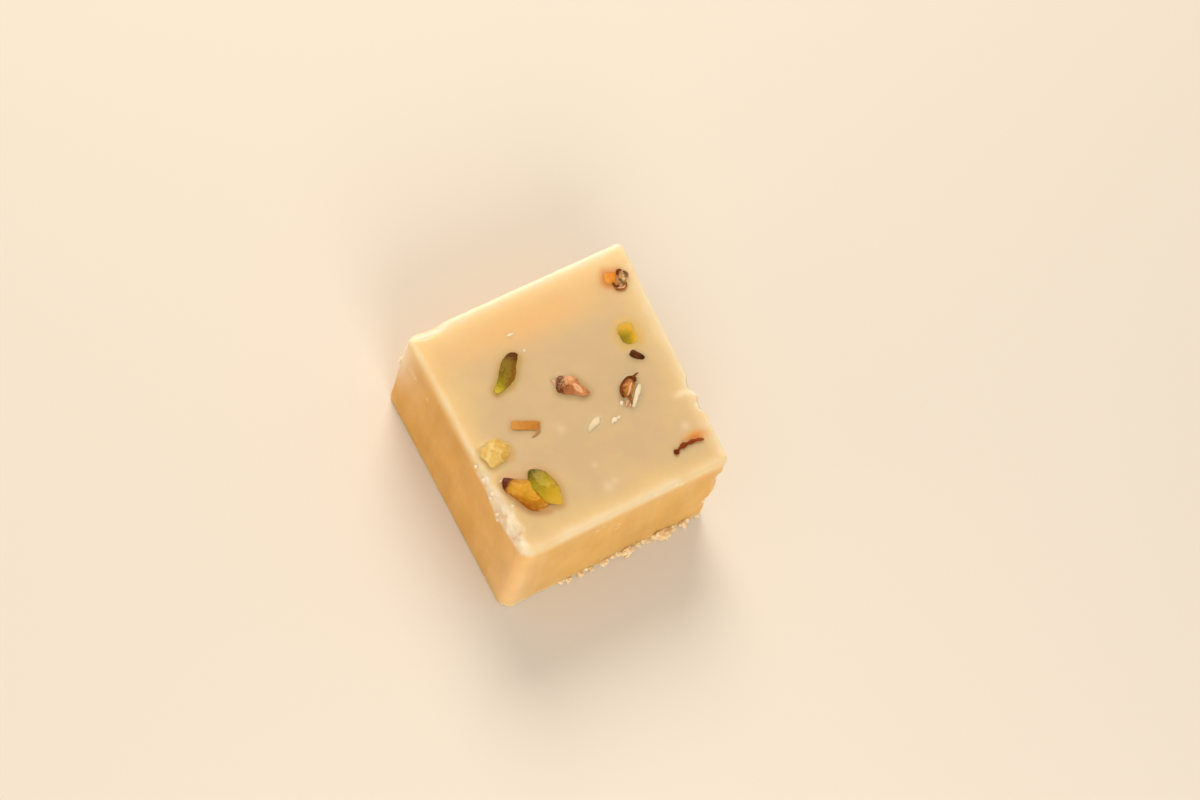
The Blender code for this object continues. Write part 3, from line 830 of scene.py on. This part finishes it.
def nutMaterial(look):
    look = {**plainLook, **look}
    material, tree, shader = newMaterial(look["material"], {
        "Roughness": look["roughness"], "IOR": 1.47, "Specular IOR Level": look["sheen"],
        "Subsurface Weight": look["glow"], "Subsurface Scale": look["lightDepth"] * millimetre,
        "Subsurface Radius": (1.0, 0.7, 0.3)})
    place = addNode(tree, "TexCoord").outputs["Object"]
    shape = {layer: addNode(tree, "Attribute", attribute_name=layer).outputs["Fac"] for layer in lumpLayers}
    patches = addNode(tree, "TexNoise", {
        "Vector": place, "Scale": perPattern(look["patchSize"]), "Detail": 4.0, "Roughness": 0.65}).outputs[0]
    stray = addNode(tree, "MapRange", {
        0: patches, 1: 0.3, 2: 0.7, 3: -look["wander"], 4: look["wander"]}).outputs[0]
    along, across, facetTone = (addNode(tree, "Math", {0: shape[layer], 1: stray}, operation="ADD").outputs[0]
                                for layer in ("along", "across", "facetTone"))
    tones = {kind: addNode(tree, "ValToRGB", {0: spot}, stops=look[kind]).outputs[0] for kind, spot in
             (("ends", along), ("faces", facetTone), ("patches", shape["along"])) if kind in look}
    coats = []  # what each follows, where it starts and is full, how strong it gets, and its colour
    if "flank" in look:
        code, start, full = look["flank"]
        coats.append((across, start, full, 0.85, hexColour(code)))
    coats.append((patches, 0.5, 0.68, 0.7, tones["patches"]))
    if "tip" in look:
        code, full, start = look["tip"]
        coats.append((along, start, full, 0.95, hexColour(code)))
    coats.append((shape["height"], look["milk"], 0.0, 0.75, hexColour(look["under"])))
    colour = tones["ends"]
    if "faces" in look:
        sockets = {0: look["faceShare"], 6: colour, 7: tones["faces"]}
        colour = addNode(tree, "Mix", sockets, data_type="RGBA").outputs[2]
    for followed, start, full, most, coat in coats:
        factor = addNode(tree, "MapRange", {0: followed, 1: start, 2: full, 3: 0.0, 4: most}).outputs[0]
        colour = addNode(tree, "Mix", {0: factor, 6: colour, 7: coat}, data_type="RGBA").outputs[2]
    tree.links.new(colour, shader.inputs["Base Color"])
    addGrain(tree, shader, place, 0.3, 3.0, look["rough"], 0.1)
    return material


nutLooks = {
    # pistachio slivers and kernels: green and gold inside, brown where skin is left on, oily sheen
    "greenSliver": {"material": "pistachioSliver",
        "ends": {0: "#4A2A0C", 0.12: "#6A4410", 0.22: "#8A6E1E", 0.6: "#8A741C", 0.78: "#9C8C1A",
            0.88: "#C4B42E", 1: "#DCC844"},
        "faces": {0: "#5C480C", 0.4: "#886C18", 0.8: "#9C8428", 1: "#B09A38"},
        "patches": {0: "#3C2008", 0.5: "#54440C", 0.8: "#948A14", 1: "#CCBC36"},
        "faceShare": 0.35, "patchSize": 0.5, "flank": ("#8E5A18", 0.56, 0.64),
        "tip": ("#5A340E", 0.06, 0.16), "under": "#B4902A", "roughness": 0.55, "sheen": 0.1},
    "kernelGreen": {"material": "pistachioGreenHalf",
        "ends": {0: "#5C5412", 0.18: "#7C7012", 0.4: "#A6921A", 0.65: "#C8A222", 0.85: "#DAAC34",
            1: "#DEAE46"},
        "faces": {0: "#867814", 0.4: "#AE9620", 0.8: "#CCAA30", 1: "#E4C45C"},
        "patches": {0: "#46400E", 0.4: "#94821A", 1: "#D6AE40"},
        "faceShare": 0.3, "patchSize": 1, "flank": ("#8E6238", 0.68, 0.76), "tip": ("#4E4A14", 0.02, 0.2),
        "under": "#CC9E36", "milk": 0.45, "roughness": 0.4, "sheen": 0.15, "lightDepth": 0.8},
    "kernelGolden": {"material": "pistachioGoldenHalf",
        "ends": {0: "#4A1804", 0.1: "#5E2206", 0.17: "#BA8024", 0.3: "#D29C30", 0.55: "#CE9620",
            0.8: "#CA8A14", 1: "#C0801A"},
        "faces": {0: "#A4640A", 0.4: "#C88C1C", 0.8: "#DCA838", 1: "#ECCC78"},
        "patches": {0: "#3A1202", 0.12: "#461804", 0.2: "#D0AC54", 0.4: "#B08A24", 0.7: "#A86C0C",
            1: "#EACC84"},
        # the flank is painted shade on the kernel's lower-left side, where little light falls
        "faceShare": 0.4, "patchSize": 0.9, "wander": 0.04, "flank": ("#9A4C04", 0.44, 0.3),
        "tip": ("#5C1E04", 0.09, 0.15), "under": "#BA7218", "milk": 0.15, "roughness": 0.4, "sheen": 0.15,
        "lightDepth": 0.8},
    "sunkenKernel": {"material": "pistachioUnderMilk",
        "ends": {0: "#847208", 0.35: "#A48A10", 0.6: "#D4A426", 0.85: "#DEB440", 1: "#E6C468"},
        "patches": {0: "#7A7208", 0.4: "#CCA01E", 1: "#E8CA74"},
        "patchSize": 1.6, "flank": ("#D8A830", 0.56, 0.8), "under": "#DDB04C", "milk": 0.72,
        "lightDepth": 1, "roughness": 0.5, "sheen": 0.15},
    "paleChunk": {"material": "pistachioPaleChunk",
        "ends": {0: "#DCC68A", 0.4: "#D8BA68", 1: "#DCC276"},
        "faces": {0: "#C8963E", 0.2: "#D2A64E", 0.4: "#DCB864", 0.7: "#E8D08E", 1: "#FCF0CC"},
        "patches": {0: "#DABA74", 0.5: "#CEA448", 1: "#E0C87A"},
        "faceShare": 0.8, "patchSize": 1, "under": "#CE9A44", "lightDepth": 0.6, "roughness": 0.4,
        "rough": 0.8, "sheen": 0.2},
    # nut skins: papery, dry and brown, darker where they fold
    "brownWedge": {"material": "nutSkinPeach",
        "ends": {0: "#96582C", 0.06: "#5A2C10", 0.18: "#7C4822", 0.26: "#CC8C54", 0.75: "#D69868",
            1: "#B87A46"},
        "faces": {0: "#965424", 0.3: "#C8844A", 0.7: "#E09C68", 1: "#FAD0A8"},
        "patches": {0: "#2E1404", 0.24: "#3E200A", 0.33: "#A8652E", 1: "#F0BE90"},
        "faceShare": 0.6, "patchSize": 0.45, "tip": ("#5E2C0A", 0.02, 0.26), "wander": 0.22,
        "under": "#A87440", "rough": 1, "lightDepth": 0.3, "sheen": 0.15},
    "darkSeed": {"material": "nutSkinDark",
        "ends": {0: "#48220A", 0.5: "#5C3012", 1: "#381A06"},
        "patches": {0: "#2A1204", 0.5: "#744420", 1: "#2A1204"},
        "patchSize": 0.5, "under": "#70421C", "milk": 0.15, "lightDepth": 0.1, "sheen": 0.05},
    "curlShell": {"material": "nutSkinCurl",
        "ends": {0: "#6A3414", 0.14: "#8A5020", 0.35: "#B87634", 0.65: "#C48840", 0.85: "#9A6C28",
            1: "#744C16"},
        "faces": {0: "#8A4E1A", 0.5: "#BA7834", 1: "#DC9E58"},
        "patches": {0: "#5A2E0E", 0.5: "#D89650", 1: "#6E4814"},
        "faceShare": 0.45, "patchSize": 0.55, "flank": ("#92501C", 0.36, 0.28), "under": "#9A5E22",
        "lightDepth": 0.2, "sheen": 0.12, "rough": 0.9},
    "tanBar": {"material": "nutSkinTan",
        "ends": {0: "#CE964A", 0.5: "#C28232", 1: "#C08032"},
        "patches": {0: "#C48A44", 1: "#A8642A"},
        "patchSize": 0.5, "under": "#C88E48", "milk": 0.5, "roughness": 0.6, "sheen": 0.1},
    "orangeScrap": {"material": "nutSkinOrange",
        "ends": {0: "#E2A044", 0.5: "#DE8A2A", 1: "#C6661A"},
        "patches": {0: "#D88C32", 1: "#B45818"},
        "patchSize": 0.8, "under": "#DC9440", "milk": 0.8, "lightDepth": 0.8, "roughness": 0.6,
        "sheen": 0.1},
    "fleshPale": {"material": "nutFleshPale",
        "ends": {0: "#E6DABC", 0.5: "#E9DCC0", 1: "#E6CEB0"},
        "faces": {0: "#D6BE96", 0.5: "#E6D8B8", 1: "#F0E8D2"},
        "patches": {0: "#D2B48C", 0.5: "#E6D6B4", 1: "#D4AC88"},
        "faceShare": 0.5, "patchSize": 0.7, "under": "#D9B98C", "milk": 0.45},
    "milkFlake": {"material": "driedMilkSheet",
        "ends": {0: "#E8D2B4", 0.5: "#E2D0AC", 1: "#DCC69C"},
        "patches": {0: "#EADABE", 1: "#D8BE92"},
        "patchSize": 0.7, "under": "#D8BE94", "milk": 0.6, "lightDepth": 0.8, "sheen": 0.15},
    "ringHeart": {"material": "nutSkinRing",
        "ends": {0: "#96602E", 0.3: "#C89A62", 0.55: "#E0C292", 0.8: "#BC7234", 1: "#B05C1C"},
        "faces": {0: "#5E340E", 0.35: "#AC6E34", 0.7: "#D0A46C", 1: "#F4E4C6"},
        "patches": {0: "#6E4218", 0.5: "#8A5628", 1: "#D08448"},
        "faceShare": 0.55, "patchSize": 0.45, "under": "#CC7E34", "rough": 1, "sheen": 0.1},
    "skinBrown": {"material": "nutSkinBrown",
        "ends": {0: "#6A320E", 0.5: "#7A4014", 1: "#5E2C08"},
        "patches": {0: "#461E06", 1: "#9A5E28"},
        "patchSize": 0.5, "under": "#8E5420", "lightDepth": 0.1, "sheen": 0.1},
    "skinGrey": {"material": "nutSkinGrey",
        "ends": {0: "#7A5426", 0.5: "#8A6E48", 1: "#7E5424"},
        "patches": {0: "#5A3C18", 1: "#B09468"},
        "patchSize": 0.4, "under": "#A8702E", "lightDepth": 0.1, "sheen": 0.1},
    "skinRed": {"material": "nutSkinRed",
        "ends": {0: "#6A2804", 0.3: "#803408", 0.7: "#863A0A", 1: "#A0561C"},
        "patches": {0: "#4E1A02", 1: "#76340A"},
        "patchSize": 0.45, "under": "#A8581C", "milk": 0.1, "glow": 0, "sheen": 0.1},
    "skinTan": {"material": "nutSkinThread",
        "ends": {0: "#B47A3E", 0.5: "#B8844A", 1: "#A86E34"},
        "patches": {0: "#8E5A28", 1: "#CC9C64"},
        "patchSize": 0.5, "under": "#C08E50", "milk": 0.3, "sheen": 0.15},
    "skinPeach": {"material": "nutSkinPink",
        "ends": {0: "#D8A478", 0.5: "#DFAE84", 1: "#D29C70"},
        "patches": {0: "#B8804E", 1: "#E6C09C"},
        "patchSize": 0.5, "under": "#D4A470", "milk": 0.3},
}
nutMaterials = {name: nutMaterial(look) for name, look in nutLooks.items()}

for index, (name, values) in enumerate(nutValues.items()):
    finishPiece(name, makeLump(values, index * 4.7), nutMaterials[values.get("look", name)])

strandValues = {  # points in the plan, radius at each, height of the middle over the top, flatness, look
    "redStick": (
        [(11.3, -17.1), (11.7, -16.9), (12.2, -16.75), (12.8, -16.5), (13.5, -16.4), (14.3, -16.4),
         (15.2, -16.4), (16.1, -16.5), (16.8, -16.7), (17.4, -17)],
        [0.34, 0.52, 0.16, 0.3, 0.55, 0.24, 0.42, 0.24, 0.36, 0.14], 0.2, 0.9, "skinRed"),
    "barHook": (
        [(-7.5, -1), (-7.9, -1.8), (-8.4, -2.5), (-9.2, -2.9), (-10.1, -3)],
        [0.14, 0.18, 0.22, 0.18, 0.1], 0.04, 0.7, "skinTan"),
    "curlRim": (
        [(12.1, -0.9), (11.5, -0.6), (10.7, -0.7), (9.7, -1.2), (9.1, -1.9), (8.7, -2.8), (8.6, -3.7)],
        [0.16, 0.14, 0.13, 0.16, 0.26, 0.3, 0.14], 0.3, 1.1, "skinBrown"),
    "curlTail": (
        [(12, -2), (12.2, -1.5), (12.1, -1.1), (12.6, -0.9), (13.1, -0.75), (13.5, -0.7)],
        [0.16, 0.34, 0.3, 0.2, 0.16, 0.08], 0.55, 0.9, "skinBrown"),
    # curlGlow: a pale strand along the shell's ridge, a painted highlight
    "curlGlow": (
        [(11.2, -2), (10.6, -2.5), (10, -3.2), (9.2, -3.8)],
        [0.14, 0.22, 0.2, 0.1], 0.7, 0.6, "skinPeach"),
    "curlStem": (
        [(9.8, -3.9), (9.7, -4.5), (9.5, -5), (9.3, -5.4)],
        [0.3, 0.26, 0.2, 0.12], 0.2, 0.8, "curlShell"),
    "shardUpper": ([(9, -4.5), (8.6, -4.9), (8.1, -5.3)], [0.18, 0.24, 0.14], 0.12, 0.8, "skinPeach"),
    "shardLower": ([(9.2, -5.2), (8.9, -5.5), (8.7, -5.9)], [0.14, 0.2, 0.1], 0.12, 0.8, "skinPeach"),
    "ringBrown": (
        [(20.6, 17.9), (20.9, 18.4), (21.4, 18.5), (21.7, 18.2)],
        [0.2, 0.3, 0.24, 0.1], 0.25, 1, "skinBrown"),
    "ringGrey": (
        [(21.9, 18), (22.2, 17.5), (22.2, 17), (21.7, 16.9)],
        [0.14, 0.26, 0.24, 0.12], 0.16, 1, "skinGrey"),
    "ringDark": (
        [(20.3, 17), (20.5, 16.6), (20.6, 16.1), (20.9, 15.7), (21.2, 15.9)],
        [0.14, 0.16, 0.24, 0.26, 0.1], 0.26, 0.8, "skinGrey"),
    "ringLow": (
        [(18.9, 16.8), (19, 16.2), (19.2, 15.8), (19.7, 15.8)],
        [0.14, 0.24, 0.22, 0.1], 0.2, 0.9, "skinBrown"),
    "ringFoot": (
        [(18.7, 15.5), (19.3, 15.1), (19.8, 14.9), (20.4, 14.9), (20.9, 15.2), (21.2, 15.6)],
        [0.08, 0.16, 0.14, 0.16, 0.14, 0.1], 0.14, 0.9, "curlShell"),
    "ringPink": (
        [(19.1, 15.6), (19.7, 15.3), (20.3, 15.2), (20.8, 15.5)],
        [0.1, 0.16, 0.16, 0.08], 0.2, 0.8, "skinPeach"),
    "wedgeBit": ([(-1.3, 5.2), (-1, 4.6), (-1.3, 4)], [0.14, 0.28, 0.12], 0.02, 0.7, "skinPeach"),
}
for index, (name, (points, radii, lift, flat, look)) in enumerate(strandValues.items()):
    wrinkle = 0.3 if look == "skinRed" else 0.2
    finishPiece(name, makeStrand(points, radii, lift, index * 3.3, wrinkle, flat), nutMaterials[look])
print("nuts done")


# flakes of dried milk and crumbs of the sweet: many small broken bits, pale where they are dry; three
# small flakes on the golden kernel are painted glints

flakeShape = {"thickness": 0.34, "sunk": 0.05}
flakeValues = [  # place, size in the plan and turn
    ((5.1, -6.5), (1.4, 1), 10), ((6, -6.4), (0.8, 0.7), 40), ((4.4, -6.8), (0.6, 0.5), 0),
    ((-3.3, 16.1), (1.8, 0.6), 0), ((-2.6, 12.2), (0.7, 0.6), 30), ((-20.1, -12.9), (0.8, 0.6), 70),
    ((8, -4.2), (1.2, 0.9), 50), ((-19.4, -7.8), (0.9, 0.4), 10), ((-21.7, -9.2), (1.4, 1.1), 20),
    # these three flakes on the golden kernel are painted glints
    ((-15.5, -14.6), (0.7, 0.5), 20), ((-15.1, -15.3), (0.5, 0.4), 80), ((-16.1, -14.2), (0.5, 0.4), 80),
    ((21.3, 17.2), (0.7, 0.5), 20),
]
rimFlecks = [  # place and size
    ((-20.3, 23.25, 11.9), 1.4), ((-23, -12.2, 18.4), 0.9), ((-23.2, -13.1, 17.4), 0.8),
    ((-22.9, -9.4, 19.4), 1), ((-22.8, -5.6, 19.6), 0.8), ((-22.8, -3.2, 19.7), 0.8),
]
crumbBands = {  # from and to: the ends of the line that they lie along; proud: a share of a crumb's size
    "foot": {
        "from": (-13, -23.6, 0.6), "to": (17.4, -23.3, 0.7), "count": 36, "sizes": (0.45, 1.2),
        "spread": 0.5, "proud": 0.06},
    "corner": {
        "from": (19.2, -22.6, 16), "to": (18.2, -23.2, 2), "count": 8, "sizes": (0.4, 0.9), "spread": 0.4,
        "proud": 0},
    "rightChip": {
        "from": (21.4, -5.8, 19.4), "to": (20.9, -11.4, 19.3), "count": 6, "sizes": (0.5, 0.9),
        "spread": 0.4, "proud": -0.12},
}
crumbClumps = [  # place and size of large crumbs with smaller ones stuck round them
    ((9.1, -23.75, 1.15), 2.6), ((10.5, -23.6, 0.8), 1.6), ((7.9, -23.5, 0.6), 1.3),
    ((11.8, -23.5, 0.6), 1.2), ((13.9, -23.6, 0.8), 1.7), ((17, -23.2, 0.6), 1.2), ((6.2, -23.5, 0.5), 1),
    ((4.2, -23.4, 0.5), 1), ((1.7, -23.6, 0.9), 2), ((0.2, -23.5, 0.6), 1.2), ((-3.4, -23.6, 0.7), 1.6),
    ((-5.9, -23.5, 0.5), 1), ((-8.1, -23.5, 0.6), 1.4), ((-10.7, -23.5, 0.5), 1.2),
]


def addCrumb(bm, place, size, seed, detail):
    made = bmesh.ops.create_icosphere(bm, subdivisions=detail, radius=1.0)["verts"]
    turn = Matrix.Rotation(seed * 2.4, 3, "Z") @ Matrix.Rotation(seed, 3, "X")
    facets = makeFacets(5, seed) + [(-way, limit, tone) for way, limit, tone in makeFacets(4, seed + 1)]
    for vert in made:
        shape = vert.co.copy()
        for facet, limit, _ in facets:
            over = shape.dot(facet) - limit + 0.1
            if over > 0:
                shape -= facet * over
        shape = turn @ shape * (1 + 0.18 * crags(vert.co, 0.7, seed))
        vert.co = Vector([shape[axis] * size[axis] / 2 + place[axis] for axis in range(3)])
    return made


def makeFlakes():
    bm = bmesh.new()
    for index, ((x, y), (length, width), turn) in enumerate(flakeValues):
        size = (length, width, flakeShape["thickness"])
        made = addCrumb(bm, Vector((0, 0, 0)), size, index * 3.1 + 0.5, detail=4)
        bmesh.ops.rotate(bm, verts=made, matrix=Matrix.Rotation(math.radians(turn), 3, "Z"))
        bmesh.ops.translate(bm, verts=made, vec=(x, y, topHeight(x, y) - flakeShape["sunk"]))
    for index, (place, size) in enumerate(rimFlecks):
        onSkin = skin.find_nearest(Vector(place) + boxShift)[0] - boxShift
        addCrumb(bm, onSkin, (size, size * 0.8, size * 0.7), index * 2.3, detail=4)
    return bm


def stickCrumb(bm, spot, size, rng, proud):  # sets a crumb into the skin nearest to a place
    onSkin, outward = skin.find_nearest(Vector(spot) + boxShift)[:2]
    onSkin = onSkin - boxShift + outward * size * proud
    onSkin.z = max(onSkin.z, size * 0.42)
    shape = (size * rng.uniform(0.85, 1.15), size * rng.uniform(0.7, 1.0), size * rng.uniform(0.6, 0.95))
    addCrumb(bm, onSkin, shape, rng.uniform(0, 90), detail=4 if size > 1.1 else 3 if size > 0.6 else 2)


def makeCrumbs():
    rng = random.Random(11)
    bm = bmesh.new()
    for band in crumbBands.values():
        for index in range(band["count"]):
            spot = Vector(band["from"]).lerp(Vector(band["to"]), rng.random())
            spot += Vector([rng.uniform(-1, 1) * band["spread"] for _ in range(3)])
            size = band["sizes"][0] + (band["sizes"][1] - band["sizes"][0]) * rng.random() ** 2
            stickCrumb(bm, spot, size, rng, band["proud"])
    for place, size in crumbClumps:
        addCrumb(bm, Vector(place), (size * 1.1, size, size * 0.9), rng.uniform(0, 90), detail=4)
    for place, size in crumbClumps:
        for index in range(5):
            offset = Vector((rng.uniform(-1, 1), rng.uniform(-1, 0.1), rng.uniform(-1, 1)))
            offset *= 0.5 * size / max(1.0, offset.length)  # never loose from the large crumb
            small = [size * rng.uniform(0.35, 0.55)] * 3
            addCrumb(bm, Vector(place) + offset, small, rng.uniform(0, 90), detail=3)
    for vert in bm.verts:
        vert.co.z = max(vert.co.z, 0.0)
    return bm


def crumbMaterial(name, pale, shade, lightDepth):
    material, tree, shader = newMaterial(name, {
        "Roughness": 0.6, "IOR": 1.45, "Subsurface Weight": 0.15, "Subsurface Scale": lightDepth * millimetre,
        "Subsurface Radius": (1.0, 0.7, 0.45)})
    place = addNode(tree, "TexCoord").outputs["Object"]
    patches = addNode(tree, "TexNoise", {"Vector": place, "Scale": perPattern(0.8), "Detail": 3.0}).outputs[0]
    colour = addNode(tree, "ValToRGB", {0: patches}, stops={0.35: shade, 0.6: pale}).outputs[0]
    tree.links.new(colour, shader.inputs["Base Color"])
    addGrain(tree, shader, place, 0.25, 2.0, 0.6, 0.08)
    return material


# dried milk solids, and the painted glints on the golden kernel, are chalky cream; broken sweet is cream
# where the light gets through
flakeWhiteAndGlint = crumbMaterial("driedMilkFlakeAndGlint", "#EEE0C6", "#E0C8A0", 0.4)
crumbCream = crumbMaterial("milkSweetCrumb", "#FBE6BE", "#F0CC94", 0.5)
finishPiece("milkFlakesAndGlints", makeFlakes(), flakeWhiteAndGlint)
finishPiece("sweetCrumbs", makeCrumbs(), crumbCream)
print("crumbs done")


# floor, light and camera

stageValues = {
    "floorColour": "#E2DBD0",
    "floorSize": 3.0,
    "keyPower": 4.5,
    "fillPower": 0.85,
    "bouncePower": 0.25,
    "skyStrength": 0.53,
    "skyColour": "#FFF6EA",
}
cameraValues = {
    "azimuth": -52.7,
    "elevation": 61.5,
    "roll": 23.8,
    "distance": 0.7,
    "lens": 117.6,
    "sensor": 36.0,
    "photoSize": (1200, 800),
    "aimPixel": (560.0, 424.0),
    "aimPoint": (-0.367, 0.789, 10.0),
}


def makeFloor():
    bm = bmesh.new()
    bmesh.ops.create_grid(bm, x_segments=1, y_segments=1, size=stageValues["floorSize"] / 2)
    mesh = bpy.data.meshes.new("paleFloor")
    bm.to_mesh(mesh)
    bm.free()
    colour = hexColour(stageValues["floorColour"])
    mesh.materials.append(newMaterial("paleTable", {"Roughness": 0.7, "Base Color": colour})[0])
    floor = bpy.data.objects.new("paleFloor", mesh)
    bpy.context.scene.collection.objects.link(floor)


def addLight(name, place, size, power, colour):
    light = bpy.data.lights.new(name, "AREA")
    light.shape = "DISK"
    light.size, light.energy, light.color = size, power, hexColour(colour)[:3]
    lamp = bpy.data.objects.new(name, light)
    bpy.context.scene.collection.objects.link(lamp)
    lamp.location = place
    lamp.rotation_euler = (-Vector(place)).to_track_quat("-Z", "Y").to_euler()


def makeCamera():
    turn, rise, roll = (math.radians(cameraValues[name]) for name in ("azimuth", "elevation", "roll"))
    back = Vector((math.sin(turn) * math.cos(rise), -math.cos(turn) * math.cos(rise), math.sin(rise)))
    right = Vector((math.cos(turn), math.sin(turn), 0.0))
    up = back.cross(right)
    right, up = right * math.cos(roll) + up * math.sin(roll), up * math.cos(roll) - right * math.sin(roll)
    focal = cameraValues["lens"] * cameraValues["photoSize"][0] / cameraValues["sensor"]
    across, down = (aim - size / 2 for aim, size in zip(cameraValues["aimPixel"], cameraValues["photoSize"]))
    ray = right * across / focal - up * down / focal - back
    place = Vector(cameraValues["aimPoint"]) * millimetre - ray * cameraValues["distance"]
    data = bpy.data.cameras.new("camera")
    data.lens, data.sensor_width = cameraValues["lens"], cameraValues["sensor"]
    camera = bpy.data.objects.new("camera", data)
    bpy.context.scene.collection.objects.link(camera)
    camera.matrix_world = Matrix.Translation(place) @ Matrix((right, up, back)).transposed().to_4x4()
    bpy.context.scene.camera = camera


def makeSky():
    world = bpy.data.worlds.new("softRoom")
    bpy.context.scene.world = world
    world.use_nodes = True
    background = world.node_tree.nodes["Background"]
    background.inputs["Color"].default_value = hexColour(stageValues["skyColour"])
    background.inputs["Strength"].default_value = stageValues["skyStrength"]


makeFloor()
makeSky()
addLight("windowBehind", (0.25, 0.55, 0.5), 0.45, stageValues["keyPower"], "#FFF3E2")
addLight("warmLeft", (-0.45, 0.1, 0.12), 0.3, stageValues["bouncePower"], "#FFB878")
addLight("softFront", (-0.14, -0.34, 0.24), 0.25, stageValues["fillPower"], "#FFF6EC")
makeCamera()
bpy.context.scene.view_settings.view_transform = "Standard"
print("stage done")
